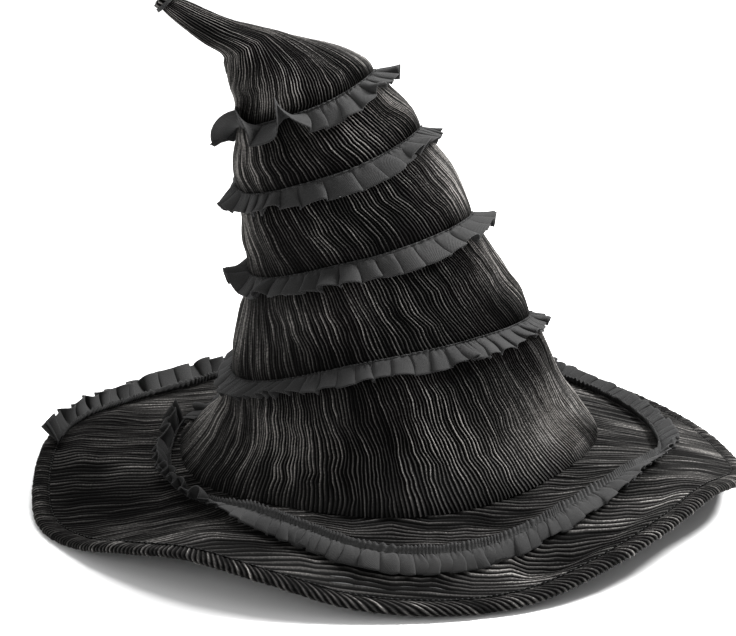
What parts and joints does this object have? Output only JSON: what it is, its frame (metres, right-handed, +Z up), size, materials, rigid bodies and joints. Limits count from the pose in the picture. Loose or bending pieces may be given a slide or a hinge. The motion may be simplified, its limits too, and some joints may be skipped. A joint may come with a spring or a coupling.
{
  "type": "witch hat",
  "caption": "Pleated fabric witch hat with a wired wavy brim, a leaning crown wrapped by a spiral ruffle, a sweatband, and a bent peak that can be posed.",
  "frame": {"origin": "middle of the hat's bounding box, on the surface the brim stands on", "axes": "+Z up through the crown, +X towards the side the peak bends away from, -Y towards the front"},
  "size_m": [0.4126, 0.41, 0.2886],
  "materials": {
    "pleated_cover": "black plisse, soft sheen on the pleat crests",
    "ruffle_cloth": "matte charcoal twill",
    "lining_cloth": "smooth black lining",
    "interlining": "stiff grey felt",
    "band_cloth": "ribbed black grosgrain",
    "spring_wire": "bright drawn wire",
    "label_cloth": "woven satin label, blank"
  },
  "bodies": {
    "hat": {"brim_top_cover": "pleated_cover", "brim_board": "interlining", "brim_under_cover": "pleated_cover", "brim_hem": "pleated_cover", "brim_wire": "spring_wire", "wire_ferrule": "spring_wire", "sweatband": "band_cloth", "sweatband_bow": "band_cloth", "size_label": "label_cloth", "crown_stiffener_1": "interlining", "crown_stiffener_2": "interlining", "crown_stiffener_3": "interlining", "crown_stiffener_4": "interlining", "crown_stiffener_5": "interlining", "crown_stiffener_6": "interlining", "crown_stiffener_7": "interlining", "crown_stiffener_8": "interlining", "crown_stiffener_9": "interlining", "crown_stiffener_10": "interlining", "crown_stiffener_11": "interlining", "crown_stiffener_12": "interlining", "crown_stiffener_13": "interlining", "crown_stiffener_14": "interlining", "crown_lining": "lining_cloth", "crown_tier_1": "pleated_cover", "crown_tier_2": "pleated_cover", "crown_tier_3": "pleated_cover", "crown_tier_4": "pleated_cover", "crown_tier_5": "pleated_cover", "bend_cover": "pleated_cover", "peak_wire": "spring_wire", "brim_ruffle_1": "ruffle_cloth", "brim_ruffle_2": "ruffle_cloth", "brim_ruffle_3": "ruffle_cloth", "crown_ruffle_1": "ruffle_cloth", "crown_ruffle_2": "ruffle_cloth", "crown_ruffle_3": "ruffle_cloth", "crown_ruffle_4": "ruffle_cloth"},
    "peak": {"peak_cover": "pleated_cover", "peak_gather": "pleated_cover", "peak_tie": "ruffle_cloth"}
  },
  "joints": [
    {"name": "peak_bend", "type": "hinge", "parent": "hat", "child": "peak", "pos_m": [-0.0785, -0.0005, 0.2575], "axis": [0, 1, 0], "range_deg": [-30, 35], "deforming": ["bend_cover", "peak_wire"]}
  ]
}
